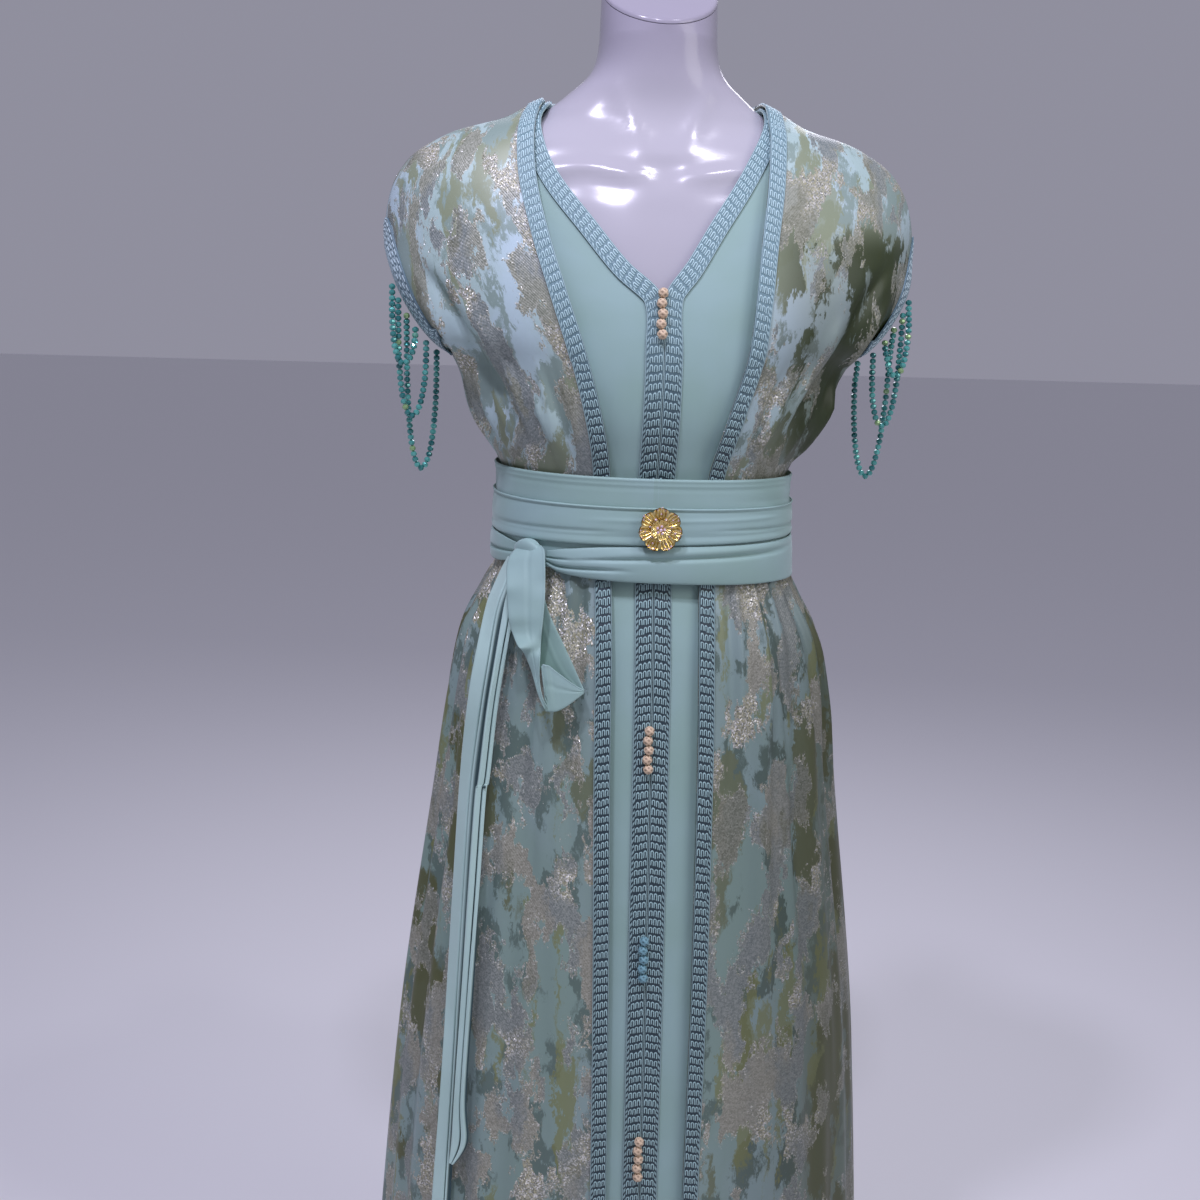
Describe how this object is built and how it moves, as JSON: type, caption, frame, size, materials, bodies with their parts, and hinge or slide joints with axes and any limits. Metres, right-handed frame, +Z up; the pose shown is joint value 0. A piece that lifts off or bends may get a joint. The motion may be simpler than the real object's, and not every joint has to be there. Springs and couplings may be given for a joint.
{
  "type": "moroccan kaftan on a dress form",
  "caption": "Two-layer aqua kaftan, brocade robe over a plain V-neck dress, with braid, sash, knot buttons and bead strands, on a limbless dress form that stands on a round base.",
  "frame": {"origin": "on the floor, under the middle of the whole part", "axes": "+Z up, the garment's front faces -Y, +X to the viewer's right (the wearer's left)"},
  "size_m": [0.5451, 0.4273, 1.6053],
  "materials": {
    "aqua_brocade": "jacquard brocade with a metallic figure, satin sheen",
    "aqua_crepe": "smooth crepe satin",
    "aqua_braid": "two-tone corded braid",
    "peach_knots": "knotted cord, matte",
    "teal_beads": "opaque glass beads, glossy",
    "gold_metal": "polished, set with small clear stones",
    "white_gloss": "gloss white lacquer",
    "steel": "brushed"
  },
  "bodies": {
    "root": {"bead_strands_left": "teal_beads", "bead_strands_right": "teal_beads", "brooch": "gold_metal", "buttons_hip": "peach_knots", "buttons_knee": "peach_knots", "buttons_neck": "peach_knots", "buttons_thigh": "aqua_braid", "cuff_braid_left": "aqua_braid", "cuff_braid_right": "aqua_braid", "dress_back": "aqua_crepe", "dress_braid": "aqua_braid", "dress_front_left": "aqua_crepe", "dress_front_right": "aqua_crepe", "form_base": "steel", "form_neck_cap": "white_gloss", "form_pole": "steel", "form_torso": "white_gloss", "robe_back": "aqua_brocade", "robe_braid": "aqua_braid", "robe_front_left": "aqua_brocade", "robe_front_right": "aqua_brocade", "sash_bow": "aqua_crepe", "sash_knot": "aqua_crepe", "sash_middle": "aqua_crepe", "sash_tail_long": "aqua_crepe", "sash_tail_short": "aqua_crepe", "sash_tie": "aqua_crepe", "sash_upper": "aqua_crepe"}
  },
  "joints": []
}
